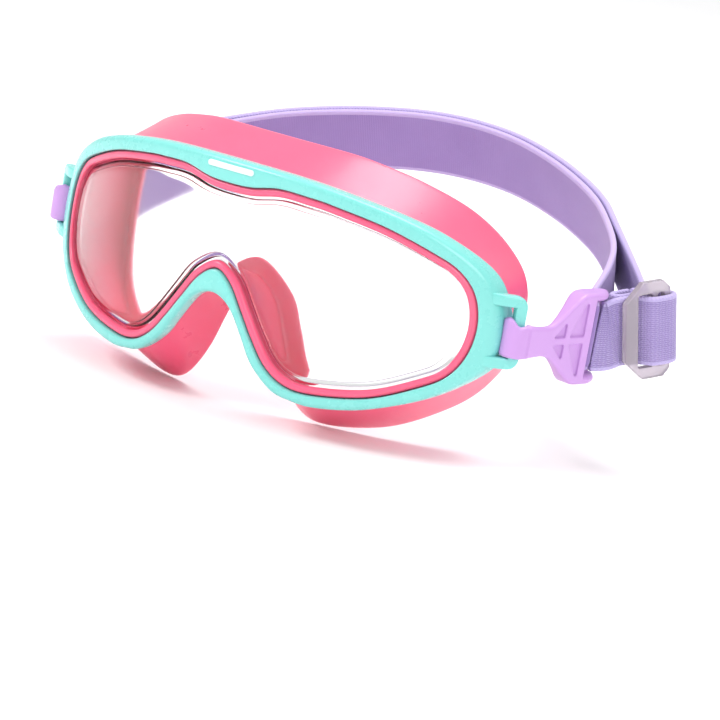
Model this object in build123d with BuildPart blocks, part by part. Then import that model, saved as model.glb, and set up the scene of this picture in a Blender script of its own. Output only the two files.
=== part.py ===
"""Wide one-lens swim goggles with a soft face skirt and an adjustable elastic head strap.

Axes: +X towards the wearer's left, -Y forward through the lens, +Z up, in millimetres.
The origin is the centre of the face opening: mid-width, at the height of the lens's widest
point, on the plane that touches the skirt's rear edge above the nose.
"""
import math
import os

from build123d import *

os.makedirs("parts", exist_ok=True)

# ---- Overall shape of the front -------------------------------------------------------
wrap_radius = 104.0  # curve of the front, seen from above
aperture_half_width = 69.0
aperture_top = 26.8
aperture_bottom = 26.8
rim_side = 5.2
rim_top = 4.8
rim_bottom = 3.3
face_depth = 23.0  # front surface to skirt edge on the centreline
face_radius = 85.0  # curve of the skirt's rear edge, seen from above

# ---- Frame, lens and skirt ------------------------------------------------------------
frame_proud = 0.8
frame_depth = 5.2
frame_edge_round = 0.7
brow_bar_length = 15.0
brow_bar_height = 2.2
brow_bar_raise = 0.6
bead_width = 2.4
bead_depth = 6.6
bead_lip = 0.8  # how far the bead stands in from the wall behind it
lens_recess = 0.9
lens_thickness = 2.6
lens_flange = 1.3
lens_hold = 1.3  # how far the flange reaches in under the bead
seat_clearance = 0.05
skirt_shoulder = 1.8  # how far the skirt starts inside the frame's outline
skirt_wall = 2.0
skirt_half_width = 67.5
skirt_top = 37.5
skirt_bottom = 39.2
seal_width = 8.0
seal_thickness = 1.7

# ---- Side lugs and strap hooks --------------------------------------------------------
lug_reach = 11.0  # bar centre beyond the aperture, along the wrap
lug_top = 10.0
lug_bottom = -10.4
lug_arm = 3.3
lug_bar_radius = 1.7
hinge_clearance = 0.35
sleeve_wall = 1.85
sleeve_height = 9.6
sleeve_mouth = 110.0  # degrees left open so the sleeve can snap on
hook_height = -2.0  # level of the hooks' centreline
hook_splay = 12.0  # degrees outward from straight back
hook_length = 35.0
hook_neck_half = 4.3
hook_plate = 2.4
hook_side_wall = 2.4
hook_plate_length = 26.5
hook_flare_start = 11.0
hook_flare_end = 21.0
hook_pocket = 0.9
rear_bar_radius = 1.2
rear_bar_inset = 2.5  # from the hook's far end
rear_bar_drop = 0.8  # towards the head

# ---- Webbing, slider and head strap ---------------------------------------------------
webbing_width = 20.0
webbing_thickness = 1.8
webbing_clearance = 0.3
inner_splay = -10.0  # where the band's inner layer leaves a hook
outer_splay = 30.0  # where the adjuster's run leaves the right hook
adjuster_rise = 12.0
slider_start = 8.0
slider_height = 28.0
slider_thickness = 2.4
slider_front_bar = 4.0
slider_pass = 4.6
slider_middle_bar = 1.6
slider_rear_slot = 2.2
slider_rear_bar = 2.2
slider_corner = 5.5
slider_rear_corner = 2.5
slider_travel = 2.5
end_fold_length = 7.5
strap_rise = 23.0  # tilt of the band round the head
layer_gap = 0.4
band_depth = 72.3  # hook bars to the back of the band, in the tilted plane
flex_radius = 64.0  # where each hook's webbing ends, from its hinge
flex_gap = 0.3

# ---- Outlines, as shares of the half width and of the height above or below the middle
aperture_shape = [
    (0.0, 0.93), (0.10, 0.94), (0.22, 1.0), (0.34, 0.99), (0.45, 0.96), (0.655, 0.85),
    (0.84, 0.665), (0.925, 0.525), (0.98, 0.31), (1.0, 0.01), (0.985, -0.29),
    (0.94, -0.53), (0.865, -0.685), (0.69, -0.905), (0.48, -1.0), (0.365, -0.975),
    (0.275, -0.83), (0.205, -0.595), (0.14, -0.345), (0.072, -0.09), (0.0, 0.03),
]
frame_shape = [
    (0.0, 1.0), (0.197, 0.99), (0.354, 0.962), (0.501, 0.908), (0.642, 0.835),
    (0.775, 0.722), (0.904, 0.525), (0.965, 0.316), (1.0, -0.03), (0.984, -0.30),
    (0.935, -0.49), (0.83, -0.704), (0.716, -0.847), (0.592, -0.95), (0.456, -1.0),
    (0.381, -0.987), (0.30, -0.937), (0.208, -0.748), (0.152, -0.538), (0.097, -0.332),
    (0.051, -0.233), (0.0, -0.196),
]
face_shape = [
    (0.0, 1.0), (0.296, 0.989), (0.449, 0.955), (0.607, 0.885), (0.767, 0.763),
    (0.879, 0.60), (0.957, 0.40), (0.993, 0.213), (1.0, 0.0), (0.99, -0.23),
    (0.963, -0.408), (0.896, -0.612), (0.796, -0.77), (0.661, -0.911), (0.513, -0.982),
    (0.37, -1.0), (0.289, -0.944), (0.222, -0.804), (0.17, -0.638), (0.126, -0.434),
    (0.074, -0.242), (0.0, -0.14),
]


def outline(shape, half_width, top, bottom):
    """Right half of an outline from its shares, from the brow down to the nose."""
    return [(x * half_width, z * (top if z > 0 else bottom)) for x, z in shape]


def closed(half):
    """The half outline and its mirror image, as one loop of points."""
    return half + [(-x, z) for x, z in reversed(half[1:-1])]


def inset(half, amount):
    """The half outline moved inwards along its own normals."""
    loop = closed(half)
    moved = []
    for i in range(len(half)):
        before = loop[i - 1]
        after = loop[(i + 1) % len(loop)]
        run, rise = after[0] - before[0], after[1] - before[1]
        length = math.hypot(run, rise)
        moved.append((half[i][0] + rise / length * amount, half[i][1] - run / length * amount))
    return moved


def walk(half, count=25):
    """The half outline again, as evenly spaced points along its smooth curve."""
    curve = Edge.make_spline([Vector(x, z, 0) for x, z in closed(half)], periodic=True)
    steps = [curve.position_at(0.5 * i / (count - 1)) for i in range(count)]
    return [(point.X, point.Y) for point in steps]


def wrap_depth(x):
    """How far back the front surface lies at a distance x from the middle."""
    return wrap_radius - math.sqrt(wrap_radius**2 - x**2)


def face_line(x):
    """How far back the skirt's rear edge lies at a distance x from the middle."""
    return face_depth + face_radius - math.sqrt(face_radius**2 - x**2)


def ruling(front_half, rear_half, level):
    """Outline at one depth, on straight lines from the frame's back to the face edge."""
    points = []
    for (x1, z1), (x2, z2) in zip(front_half, rear_half):
        start = wrap_radius - math.sqrt((wrap_radius - frame_depth) ** 2 - x1**2)
        share = (level - start) / (face_line(x2) - start)
        points.append((x1 + (x2 - x1) * share, z1 + (z2 - z1) * share))
    return points


# All front pieces are worked out with the lens's front surface at Y = 0, then moved by this.
to_origin = Vector(0, -face_depth, 0)
front = Plane.XZ.offset(10)
sweep_depth = 80.0
tall = 120.0

aperture = outline(aperture_shape, aperture_half_width, aperture_top, aperture_bottom)
frame_outline = outline(
    frame_shape,
    aperture_half_width + rim_side,
    aperture_top + rim_top,
    aperture_bottom + rim_bottom,
)
face_outline = outline(face_shape, skirt_half_width, skirt_top, skirt_bottom)


def drum(x, y, radius):
    """A tall upright cylinder, to trim pieces that follow a curve."""
    return Pos(x, y, 0) * Cylinder(radius, tall, mode=Mode.PRIVATE)


def shell(outer_radius, inner_radius):
    """A slice of upright tube that follows the front's curve."""
    return drum(0, wrap_radius, outer_radius) - drum(0, wrap_radius, inner_radius)


def finish(piece, name):
    """Move a finished piece to the origin, name it and write it."""
    placed = piece.moved(Location(to_origin))
    placed.label = name
    export_step(placed, f"parts/{name}.step")


# ---- Frame ------------------------------------------------------------------------------
hinge_angle = math.asin(aperture_half_width / wrap_radius) + lug_reach / wrap_radius
hinge_x = wrap_radius * math.sin(hinge_angle)
hinge_y = wrap_radius - wrap_radius * math.cos(hinge_angle)
sleeve_inner = lug_bar_radius + hinge_clearance
sleeve_outer = sleeve_inner + sleeve_wall
window_top = lug_top - lug_arm
window_bottom = lug_bottom + lug_arm

with BuildPart() as frame:
    with BuildSketch(front):
        with BuildLine():
            Spline(*closed(frame_outline), periodic=True)
        make_face()
    extrude(amount=-sweep_depth)
    add(shell(wrap_radius + frame_proud, wrap_radius - frame_depth), mode=Mode.INTERSECT)
    fillet(frame.edges().sort_by(Axis.Y)[0:1], radius=frame_edge_round)
    for side in (1, -1):
        hinge = Vector(side * hinge_x, hinge_y, 0)
        arm_direction = Vector(side * math.cos(hinge_angle), math.sin(hinge_angle), 0)
        for level in (window_top, lug_bottom):
            arm_plane = Plane(
                origin=hinge + Vector(0, 0, level), x_dir=arm_direction, z_dir=(0, 0, 1)
            )
            with BuildSketch(arm_plane):
                with Locations((-lug_reach / 2, 0)):
                    Rectangle(lug_reach, 2 * lug_bar_radius)
                Circle(lug_bar_radius)
            extrude(amount=lug_arm)
        with BuildSketch(Plane(origin=hinge + Vector(0, 0, window_bottom))):
            Circle(sleeve_outer + hinge_clearance)
        extrude(amount=window_top - window_bottom, mode=Mode.SUBTRACT)
        with BuildSketch(Plane(origin=hinge + Vector(0, 0, lug_bottom))):
            Circle(lug_bar_radius)
        extrude(amount=lug_top - lug_bottom)
    with BuildSketch(front):
        with BuildLine():
            Spline(*closed(aperture), periodic=True)
        make_face()
    extrude(amount=-sweep_depth, mode=Mode.SUBTRACT)
    # A low raised bar on the brow.
    with BuildSketch(front):
        with Locations((0, aperture_top + rim_top / 2)):
            SlotOverall(brow_bar_length, brow_bar_height)
    brow_bar = extrude(amount=-sweep_depth, mode=Mode.PRIVATE)
    brow_skin = shell(wrap_radius + frame_proud + brow_bar_raise, wrap_radius - frame_proud)
    add(brow_bar & brow_skin)
finish(frame.part, "frame")

# ---- Lens: a clear panel whose edge flange seats behind the skirt's bead ------------------
lens_front = wrap_radius - lens_recess
lens_back = lens_front - lens_thickness
flange_front = lens_back + lens_flange
pane_outline = inset(aperture, bead_width + seat_clearance)
flange_outline = inset(aperture, bead_width - lens_hold)
seat_outline = inset(aperture, bead_width - lens_hold - seat_clearance)

with BuildPart() as lens:
    with BuildSketch(front):
        with BuildLine():
            Spline(*closed(pane_outline), periodic=True)
        make_face()
    extrude(amount=-sweep_depth)
    add(shell(lens_front, lens_back), mode=Mode.INTERSECT)
    with BuildSketch(front):
        with BuildLine():
            Spline(*closed(flange_outline), periodic=True)
        make_face()
    flange_block = extrude(amount=-sweep_depth, mode=Mode.PRIVATE)
    add(flange_block & shell(flange_front, lens_back))
finish(lens.part, "lens")

# ---- Skirt: bead, wall and inward face seal, moulded as one -------------------------------
skirt_front = wrap_radius - frame_depth - seat_clearance
loft_near = frame_depth - 1
loft_far = face_line(skirt_half_width) + 2
near_plane = Plane.XZ.offset(-loft_near)
far_plane = Plane.XZ.offset(-loft_far)
shoulder_outline = walk(inset(frame_outline, skirt_shoulder))
inside_outline = walk(inset(aperture, bead_width - bead_lip))
face_walk = walk(face_outline)
face_inside = walk(inset(face_outline, skirt_wall))
face_drum = drum(0, face_depth + face_radius, face_radius)

with BuildPart() as skirt_hollow:
    with BuildSketch(near_plane):
        with BuildLine():
            Spline(*closed(ruling(inside_outline, face_inside, loft_near)), periodic=True)
        make_face()
    with BuildSketch(far_plane):
        with BuildLine():
            Spline(*closed(ruling(inside_outline, face_inside, loft_far)), periodic=True)
        make_face()
    loft(ruled=True)

with BuildPart() as face_seal:
    with BuildSketch(front):
        with BuildLine():
            Spline(*closed(inset(face_outline, skirt_wall / 2)), periodic=True)
        make_face()
        with BuildLine():
            Spline(*closed(inset(face_outline, seal_width)), periodic=True)
        make_face(mode=Mode.SUBTRACT)
    extrude(amount=-sweep_depth)
    add(drum(0, face_depth + face_radius, face_radius + seal_thickness), mode=Mode.INTERSECT)
    add(face_drum, mode=Mode.SUBTRACT)

with BuildPart() as bead:
    with BuildSketch(front):
        with BuildLine():
            Spline(*closed(inset(aperture, seat_clearance)), periodic=True)
        make_face()
    extrude(amount=-sweep_depth)
    add(shell(wrap_radius, wrap_radius - bead_depth - bead_lip), mode=Mode.INTERSECT)

with BuildPart() as lens_hole:
    with BuildSketch(front):
        with BuildLine():
            Spline(*closed(inset(aperture, bead_width)), periodic=True)
        make_face()
    extrude(amount=-sweep_depth)
    hole_end = wrap_radius - bead_depth - bead_lip
    add(shell(wrap_radius + bead_lip, hole_end), mode=Mode.INTERSECT)
    with BuildSketch(front):
        with BuildLine():
            Spline(*closed(seat_outline), periodic=True)
        make_face()
    seat_block = extrude(amount=-sweep_depth, mode=Mode.PRIVATE)
    add(seat_block & shell(flange_front + seat_clearance, hole_end))

with BuildPart() as skirt:
    with BuildSketch(near_plane):
        with BuildLine():
            Spline(*closed(ruling(shoulder_outline, face_walk, loft_near)), periodic=True)
        make_face()
    with BuildSketch(far_plane):
        with BuildLine():
            Spline(*closed(ruling(shoulder_outline, face_walk, loft_far)), periodic=True)
        make_face()
    loft(ruled=True)
    add(drum(0, wrap_radius, skirt_front), mode=Mode.INTERSECT)
    add(bead.part)
    add(face_drum, mode=Mode.SUBTRACT)
    add(skirt_hollow.part & drum(0, wrap_radius, wrap_radius - bead_depth), mode=Mode.SUBTRACT)
    add(lens_hole.part, mode=Mode.SUBTRACT)
    add(face_seal.part)
finish(skirt.part, "skirt")

# ---- Strap hooks: each snaps round its lug's bar and carries the webbing's rear bar -------
hinge = Vector(hinge_x, hinge_y, 0)
splay = math.radians(hook_splay)
back = Vector(math.sin(splay), math.cos(splay), 0)
outward = Vector(math.cos(splay), -math.sin(splay), 0)
upright = Vector(0, 0, 1)
hook_half = webbing_width / 2 + 2 * webbing_clearance + hook_side_wall
side_depth = sleeve_inner + hook_plate + rear_bar_drop + 2 * rear_bar_radius
rear_bar = hinge + back * (hook_length - rear_bar_inset) - outward * rear_bar_drop
plate_profile = [
    (0, sleeve_height / 2),
    (hook_flare_start / 2, hook_neck_half),
    (hook_flare_start, hook_neck_half + 0.4),
    (hook_flare_end, hook_half),
    (hook_plate_length, hook_half),
]
small_pocket = [(10.6, 0.9), (14.4, 0.9), (14.4, 4.0)]
large_pocket = [(16.6, 0.9), (23.6, 0.9), (23.6, 10.2), (21.6, 10.2), (16.6, 5.6)]

plate_plane = Plane(hinge + outward * sleeve_inner + upright * hook_height, back, outward)

with BuildPart() as hook_right:
    with BuildSketch(plate_plane):
        with BuildLine():
            Polyline(*plate_profile)
            Polyline(*[(u, -z) for u, z in plate_profile])
            Line(plate_profile[0], (0, -sleeve_height / 2))
            Line(plate_profile[-1], (hook_plate_length, -hook_half))
        make_face()
        fillet(vertices().group_by(Axis.X)[1:-1], radius=3)
    extrude(amount=hook_plate)
    fillet(hook_right.faces().sort_by(SortBy.AREA)[-1].edges(), radius=0.6)
    with BuildSketch(plate_plane.offset(hook_plate)):
        for pocket in (small_pocket, large_pocket):
            for flip in (1, -1):
                with BuildLine():
                    Polyline(*[(u, flip * z) for u, z in pocket], close=True)
                make_face()
        fillet(vertices(), radius=0.5)
    extrude(amount=-hook_pocket, mode=Mode.SUBTRACT)
    # The sleeve, with a mouth towards the head.
    with BuildSketch(Plane(hinge + upright * (hook_height - sleeve_height / 2), back, upright)):
        Circle(sleeve_outer)
        Circle(sleeve_inner, mode=Mode.SUBTRACT)
        with BuildLine():
            mouth_edge = PolarLine((0, 0), 2 * sleeve_outer, -15)
            Line(mouth_edge @ 1, (2 * sleeve_outer, 2 * sleeve_outer))
            Line((2 * sleeve_outer, 2 * sleeve_outer), (0, 2 * sleeve_outer))
            Line((0, 2 * sleeve_outer), (0, 0))
        make_face(mode=Mode.SUBTRACT)
    extrude(amount=sleeve_height)
    # Side walls that run back past the plate, and the bar between them.
    for level in (hook_half - hook_side_wall, -hook_half):
        wall_plane = Plane(hinge + upright * (hook_height + level), back, upright)
        with BuildSketch(wall_plane):
            wall_middle = side_depth / 2 - sleeve_inner - hook_plate
            with Locations(((hook_flare_end + hook_length) / 2, wall_middle)):
                Rectangle(hook_length - hook_flare_end, side_depth)
            fillet(vertices().group_by(Axis.X)[-1], radius=2)
        extrude(amount=hook_side_wall)
    with BuildSketch(Plane(rear_bar + upright * (hook_height - hook_half), back, upright)):
        Circle(rear_bar_radius)
    extrude(amount=2 * hook_half)
finish(hook_right.part, "hook_right")

with BuildPart() as hook_left:
    add(hook_right.part.mirror(Plane.YZ))
finish(hook_left.part, "hook_left")

# ---- Head strap: one length of webbing, doubled round the head ---------------------------
loop_radius = rear_bar_radius + webbing_clearance + webbing_thickness / 2
layer_step = webbing_thickness + layer_gap
inner_angle = math.radians(inner_splay)
outer_angle = math.radians(outer_splay)
inner_run = Vector(math.sin(inner_angle), math.cos(inner_angle), 0)
inner_side = Vector(math.cos(inner_angle), -math.sin(inner_angle), 0)
outer_run = Vector(math.sin(outer_angle), math.cos(outer_angle), 0)
outer_side = Vector(math.cos(outer_angle), -math.sin(outer_angle), 0)
loop_tail = 6.5
bar_level = Vector(rear_bar.X, rear_bar.Y, 0)
webbing_plane = Plane.XY.offset(hook_height - webbing_width / 2)
tilt = math.radians(strap_rise)
band_plane = Plane(
    origin=(0, rear_bar.Y, hook_height),
    x_dir=(1, 0, 0),
    z_dir=(0, -math.sin(tilt), math.cos(tilt)),
)


def in_band(point):
    """A level point's place in the tilted plane of the band."""
    return (point.X, (point.Y - rear_bar.Y) / math.cos(tilt))


def shifted(points, amount):
    """Points of the band's path moved outwards along its normals."""
    moved = []
    for i, (x, y) in enumerate(points):
        before = points[max(i - 1, 0)]
        after = points[min(i + 1, len(points) - 1)]
        run, rise = after[0] - before[0], after[1] - before[1]
        length = math.hypot(run, rise)
        moved.append((x + rise / length * amount[i], y - run / length * amount[i]))
    return moved


def loop_end(side, run):
    """Where a layer leaves the right hook's bar."""
    return bar_level + side * loop_radius + run * loop_tail


# The band's inner layer, from the right bar to the middle of the back, as shares.
band_shape = [
    (0.966, 0.187), (0.912, 0.356), (0.819, 0.518), (0.694, 0.672), (0.546, 0.794),
    (0.375, 0.90), (0.1875, 0.975), (0.0, 1.0),
]
start_x, start_y = in_band(loop_end(-inner_side, inner_run))
inner_half = [(start_x, start_y)]
inner_half += [(x * start_x, start_y + y * (band_depth - start_y)) for x, y in band_shape]
inner_path = inner_half + [(-x, y) for x, y in reversed(inner_half[:-1])]
# The outer layer closes up to the inner one as it leaves the left hook.
left_steps = [2 * loop_radius, 4.2, 3.3]
steps = [layer_step] * (len(inner_path) - len(left_steps)) + left_steps[::-1]
outer_path = shifted(inner_path, steps)

fold_room = slider_travel + webbing_clearance
adjuster_tilt = math.radians(adjuster_rise)
slide_run = outer_run * math.cos(adjuster_tilt) + upright * math.sin(adjuster_tilt)
slide_up = upright * math.cos(adjuster_tilt) - outer_run * math.sin(adjuster_tilt)
pass_offset = slider_thickness / 2 + webbing_clearance / 1.5 + webbing_thickness / 2
slider_origin = (
    rear_bar
    + upright * hook_height
    + slide_run * slider_start
    + outer_side * (loop_radius + pass_offset)
)
slider_plane = Plane(slider_origin, slide_run, outer_side)
fold_plane = Plane(slider_origin - slide_up * (webbing_width / 2), slide_run, slide_up)
middle_start = slider_front_bar + slider_pass
rear_start = middle_start + slider_middle_bar + slider_rear_slot
slider_length = rear_start + slider_rear_bar
window_half = webbing_width / 2 + 2 * webbing_clearance

with BuildPart() as slider:
    with BuildSketch(slider_plane):
        with Locations((slider_length / 2, 0)):
            Rectangle(slider_length, slider_height)
        chamfer(vertices().group_by(Axis.X)[0], slider_corner)
        chamfer(vertices().group_by(Axis.X)[-1], slider_rear_corner)
        for start, width in (
            (slider_front_bar, slider_pass),
            (middle_start + slider_middle_bar, slider_rear_slot),
        ):
            with Locations((start + width / 2, 0)):
                Rectangle(width, 2 * window_half, mode=Mode.SUBTRACT)
    extrude(amount=slider_thickness / 2, both=True)
    rear_edges = slider.edges().filter_by(lambda edge: edge.length > window_half)
    rear_edges = rear_edges.sort_by(lambda edge: (edge.center() - slider_origin).dot(slide_run))
    fillet(rear_edges[-2:], radius=slider_thickness / 2 - 0.3)
finish(slider.part, "slider")

# The webbing's way through the slider: behind the front bar, over the others and back.
turn = slider_length - slider_rear_bar / 2
return_end = middle_start + slider_middle_bar / 2
with BuildPart() as slider_fold:
    with BuildSketch(fold_plane):
        with BuildLine():
            over = FilletPolyline(
                (-0.6, pass_offset),
                (slider_front_bar + 0.3, pass_offset),
                (middle_start - 0.3, -pass_offset),
                (turn, -pass_offset),
                radius=1.2,
            )
            CenterArc((turn, 0), pass_offset, start_angle=-90, arc_size=180)
            Line((turn, pass_offset), (return_end, pass_offset))
        trace(line_width=webbing_thickness)
    extrude(amount=webbing_width)
finish(slider_fold.part, "slider_fold")

# The strap's sewn end, folded on itself behind the slider.
fold_outer = pass_offset + webbing_thickness + webbing_clearance
fold_inner = fold_outer + 2 * webbing_thickness
fold_turn = return_end - end_fold_length
fold_tail = middle_start - 3.0
with BuildPart() as strap_end_fold:
    with BuildSketch(fold_plane):
        with BuildLine():
            Line((return_end, fold_outer), (fold_turn, fold_outer))
            CenterArc((fold_turn, (fold_outer + fold_inner) / 2), webbing_thickness, 270, -180)
            Line((fold_turn, fold_inner), (fold_tail, fold_inner))
        trace(line_width=webbing_thickness)
    extrude(amount=webbing_width)
finish(strap_end_fold.part, "strap_end_fold")

# Where the outer layer meets the folded end, with room for the slider's travel.
fold_end = (
    slider_origin
    + slide_run * (fold_tail + fold_room)
    - outer_side * (fold_inner + webbing_thickness / 2)
)
right_start = in_band(fold_end)
meet = (right_start[0] - 5.0, right_start[1] + 6.5)
outer_path = [right_start, meet] + outer_path[4:]

with BuildPart() as inner_band:
    with BuildSketch(band_plane.offset(-webbing_width / 2)):
        with BuildLine():
            Spline(*inner_path)
        trace(line_width=webbing_thickness)
    extrude(amount=webbing_width)

with BuildPart() as outer_band:
    with BuildSketch(band_plane.offset(-webbing_width / 2)):
        with BuildLine():
            Spline(*outer_path)
        trace(line_width=webbing_thickness)
    extrude(amount=webbing_width)

right_reach = drum(hinge_x, hinge_y, flex_radius)
left_reach = drum(-hinge_x, hinge_y, flex_radius)
right_limit = drum(hinge_x, hinge_y, flex_radius + flex_gap)
left_limit = drum(-hinge_x, hinge_y, flex_radius + flex_gap)

finish(inner_band.part - right_limit - left_limit, "headband_inner")
finish(outer_band.part - right_limit - left_limit, "headband_outer")
finish(outer_band.part & right_reach, "strap_right_outer")

outer_tail = bar_level + outer_side * loop_radius + outer_run * webbing_thickness
with BuildPart() as strap_right_loop:
    with BuildSketch(webbing_plane):
        with BuildLine():
            Line(outer_tail, bar_level + outer_side * loop_radius)
            CenterArc(bar_level, loop_radius, -outer_splay, outer_splay - inner_splay - 180)
            Line(bar_level - inner_side * loop_radius, loop_end(-inner_side, inner_run))
        trace(line_width=webbing_thickness)
    extrude(amount=webbing_width)
    add(inner_band.part & right_reach)
finish(strap_right_loop.part, "strap_right_loop")

with BuildPart() as left_turn:
    with BuildSketch(webbing_plane):
        with BuildLine():
            Line(loop_end(inner_side, inner_run), bar_level + inner_side * loop_radius)
            CenterArc(bar_level, loop_radius, -inner_splay, -180)
            Line(bar_level - inner_side * loop_radius, loop_end(-inner_side, inner_run))
        trace(line_width=webbing_thickness)
    extrude(amount=webbing_width)

with BuildPart() as strap_left_loop:
    add(left_turn.part.mirror(Plane.YZ))
    add(inner_band.part & left_reach)
    add(outer_band.part & left_reach)
finish(strap_left_loop.part, "strap_left_loop")
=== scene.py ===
"""Swim goggles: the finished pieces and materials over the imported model."""
import math

import bmesh
import bpy
import numpy as np
from mathutils import Matrix, Vector


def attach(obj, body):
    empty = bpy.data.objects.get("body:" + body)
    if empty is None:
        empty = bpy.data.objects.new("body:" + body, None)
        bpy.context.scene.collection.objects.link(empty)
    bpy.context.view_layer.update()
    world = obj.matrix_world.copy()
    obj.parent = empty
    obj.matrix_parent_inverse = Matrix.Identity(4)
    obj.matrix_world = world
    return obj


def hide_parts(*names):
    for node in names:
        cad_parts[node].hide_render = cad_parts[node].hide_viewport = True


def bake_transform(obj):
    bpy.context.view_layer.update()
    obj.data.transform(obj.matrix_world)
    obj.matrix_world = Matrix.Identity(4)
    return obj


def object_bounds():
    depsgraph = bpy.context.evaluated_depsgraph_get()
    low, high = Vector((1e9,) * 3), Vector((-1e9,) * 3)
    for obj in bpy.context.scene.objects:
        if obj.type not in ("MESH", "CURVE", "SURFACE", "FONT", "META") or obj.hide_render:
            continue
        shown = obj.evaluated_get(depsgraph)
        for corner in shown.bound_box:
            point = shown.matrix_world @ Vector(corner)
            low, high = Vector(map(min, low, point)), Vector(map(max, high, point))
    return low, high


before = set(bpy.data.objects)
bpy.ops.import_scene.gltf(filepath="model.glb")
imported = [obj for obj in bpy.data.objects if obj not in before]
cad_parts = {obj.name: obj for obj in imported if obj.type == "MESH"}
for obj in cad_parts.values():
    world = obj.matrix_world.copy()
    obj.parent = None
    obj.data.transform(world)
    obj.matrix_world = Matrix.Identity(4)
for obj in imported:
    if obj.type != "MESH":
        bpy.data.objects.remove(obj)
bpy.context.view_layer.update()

mm = 0.001

# ---- Sizes of the goggles, in millimetres ----------------------------------------------
wrap_radius = 104.0
wrap_centre = 81.0  # distance of the wrap's upright axis behind the origin
face_centre = 85.0
frame_front = wrap_radius + 0.8
frame_back = wrap_radius - 5.2
stations = 150  # on each half of an outline
webbing_width = 20.0
webbing_thickness = 1.8

aperture_half = [
    (0.0, 24.9), (6.9, 25.2), (15.2, 26.8), (23.5, 26.5), (31.0, 25.7), (45.2, 22.8),
    (58.0, 17.8), (63.8, 14.1), (67.6, 8.3), (69.0, 0.3), (68.0, -7.8), (64.9, -14.2),
    (59.7, -18.4), (47.6, -24.3), (33.1, -26.8), (25.2, -26.1), (19.0, -22.2),
    (14.1, -15.9), (9.7, -9.2), (5.0, -2.4), (0.0, 0.8),
]
frame_half = [
    (0.0, 31.6), (14.6, 31.3), (26.3, 30.4), (37.2, 28.7), (47.6, 26.4), (57.5, 22.8),
    (67.1, 16.6), (71.6, 10.0), (74.2, -0.9), (73.0, -9.0), (69.4, -14.7), (61.6, -21.2),
    (53.1, -25.5), (43.9, -28.6), (33.8, -30.1), (28.3, -29.7), (22.3, -28.2),
    (15.4, -22.5), (11.3, -16.2), (7.2, -10.0), (3.8, -7.0), (0.0, -5.9),
]
face_half = [
    (0.0, 37.5), (20.0, 37.1), (30.3, 35.8), (41.0, 33.2), (51.8, 28.6), (59.3, 22.5),
    (64.6, 15.0), (67.0, 8.0), (67.5, 0.0), (66.8, -9.0), (65.0, -16.0), (60.5, -24.0),
    (53.7, -30.2), (44.6, -35.7), (34.6, -38.5), (25.0, -39.2), (19.5, -37.0),
    (15.0, -31.5), (11.5, -25.0), (8.5, -17.0), (5.0, -9.5), (0.0, -5.5),
]


# ---- Curves ------------------------------------------------------------------------------
def closed(half):
    """The half outline and its mirror image, as one loop of points."""
    return half + [(-x, z) for x, z in reversed(half[1:-1])]


def inset(half, amount):
    """The half outline moved inwards along its own normals."""
    loop = closed(half)
    moved = []
    for i in range(len(half)):
        before = loop[i - 1]
        after = loop[(i + 1) % len(loop)]
        run, rise = after[0] - before[0], after[1] - before[1]
        length = math.hypot(run, rise)
        moved.append((half[i][0] + rise / length * amount, half[i][1] - run / length * amount))
    return moved


def smooth(points, loop=False, steps=12):
    """A dense smooth curve through the points."""
    p = np.array(points, float)
    if loop:
        p = np.vstack([p[-1:], p, p[:2]])
    else:
        p = np.vstack([2 * p[:1] - p[1:2], p, 2 * p[-1:] - p[-2:-1]])
    t = np.linspace(0, 1, steps, endpoint=False)[:, None]
    rows = []
    for a, b, c, d in zip(p[:-3], p[1:-2], p[2:-1], p[3:]):
        rows.append(
            0.5 * (2 * b + (c - a) * t + (2 * a - 5 * b + 4 * c - d) * t**2
                   + (3 * b - a - 3 * c + d) * t**3)
        )
    rows.append(p[-2:-1])
    return np.vstack(rows)


def evenly(curve, count):
    """The curve again, as evenly spaced points."""
    step = np.linalg.norm(np.diff(curve, axis=0), axis=1)
    along = np.concatenate([[0], np.cumsum(step)])
    wanted = np.linspace(0, along[-1], count)
    return np.stack([np.interp(wanted, along, curve[:, k]) for k in range(curve.shape[1])], 1)


def loop_of(half, amount=0.0):
    """Stations round an outline that stands in by the amount, brow to nose and back."""
    curve = smooth(closed(inset(half, amount)), loop=True)
    right = evenly(curve[: (len(half) - 1) * 12 + 1], stations)
    right[0, 0] = right[-1, 0] = 0
    left = right[-2:0:-1] * (-1, 1)
    return np.vstack([right, left])


def on_drum(flat, radius, centre):
    """Flat outline points (x, z) laid on an upright drum."""
    x, z = flat[:, 0], flat[:, 1]
    return np.stack([x, centre - np.sqrt(radius**2 - x**2), z], 1)


def on_wrap(half, amount, radius):
    """An outline, standing in by the amount, on a drum of the front's wrap."""
    return on_drum(loop_of(half, amount), radius, wrap_centre)


def on_face(amount, radius):
    """The face edge, standing in by the amount, on a drum of the face's curve."""
    return on_drum(loop_of(face_half, amount), radius, face_centre)


# ---- Meshes ------------------------------------------------------------------------------
def piece(name, verts, faces, material, levels=0, seams=None):
    """A smooth mesh from points in millimetres; seams gives its ribbon layer."""
    mesh = bpy.data.meshes.new(name)
    mesh.from_pydata([tuple(float(c) * mm for c in v) for v in verts], [], faces)
    if seams is not None:
        layer = mesh.uv_layers.new(name="ribbon")
        flat = np.array([seams[k] for face in faces for k in face], np.float32)
        layer.data.foreach_set("uv", flat.ravel())
    bm = bmesh.new()
    bm.from_mesh(mesh)
    bmesh.ops.recalc_face_normals(bm, faces=bm.faces)
    bm.to_mesh(mesh)
    bm.free()
    mesh.polygons.foreach_set("use_smooth", [True] * len(mesh.polygons))
    obj = bpy.data.objects.new(name, mesh)
    bpy.context.collection.objects.link(obj)
    obj.data.materials.append(material)
    if levels:
        rounding = obj.modifiers.new("rounding", "SUBSURF")
        rounding.levels = rounding.render_levels = levels
    return obj


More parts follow.
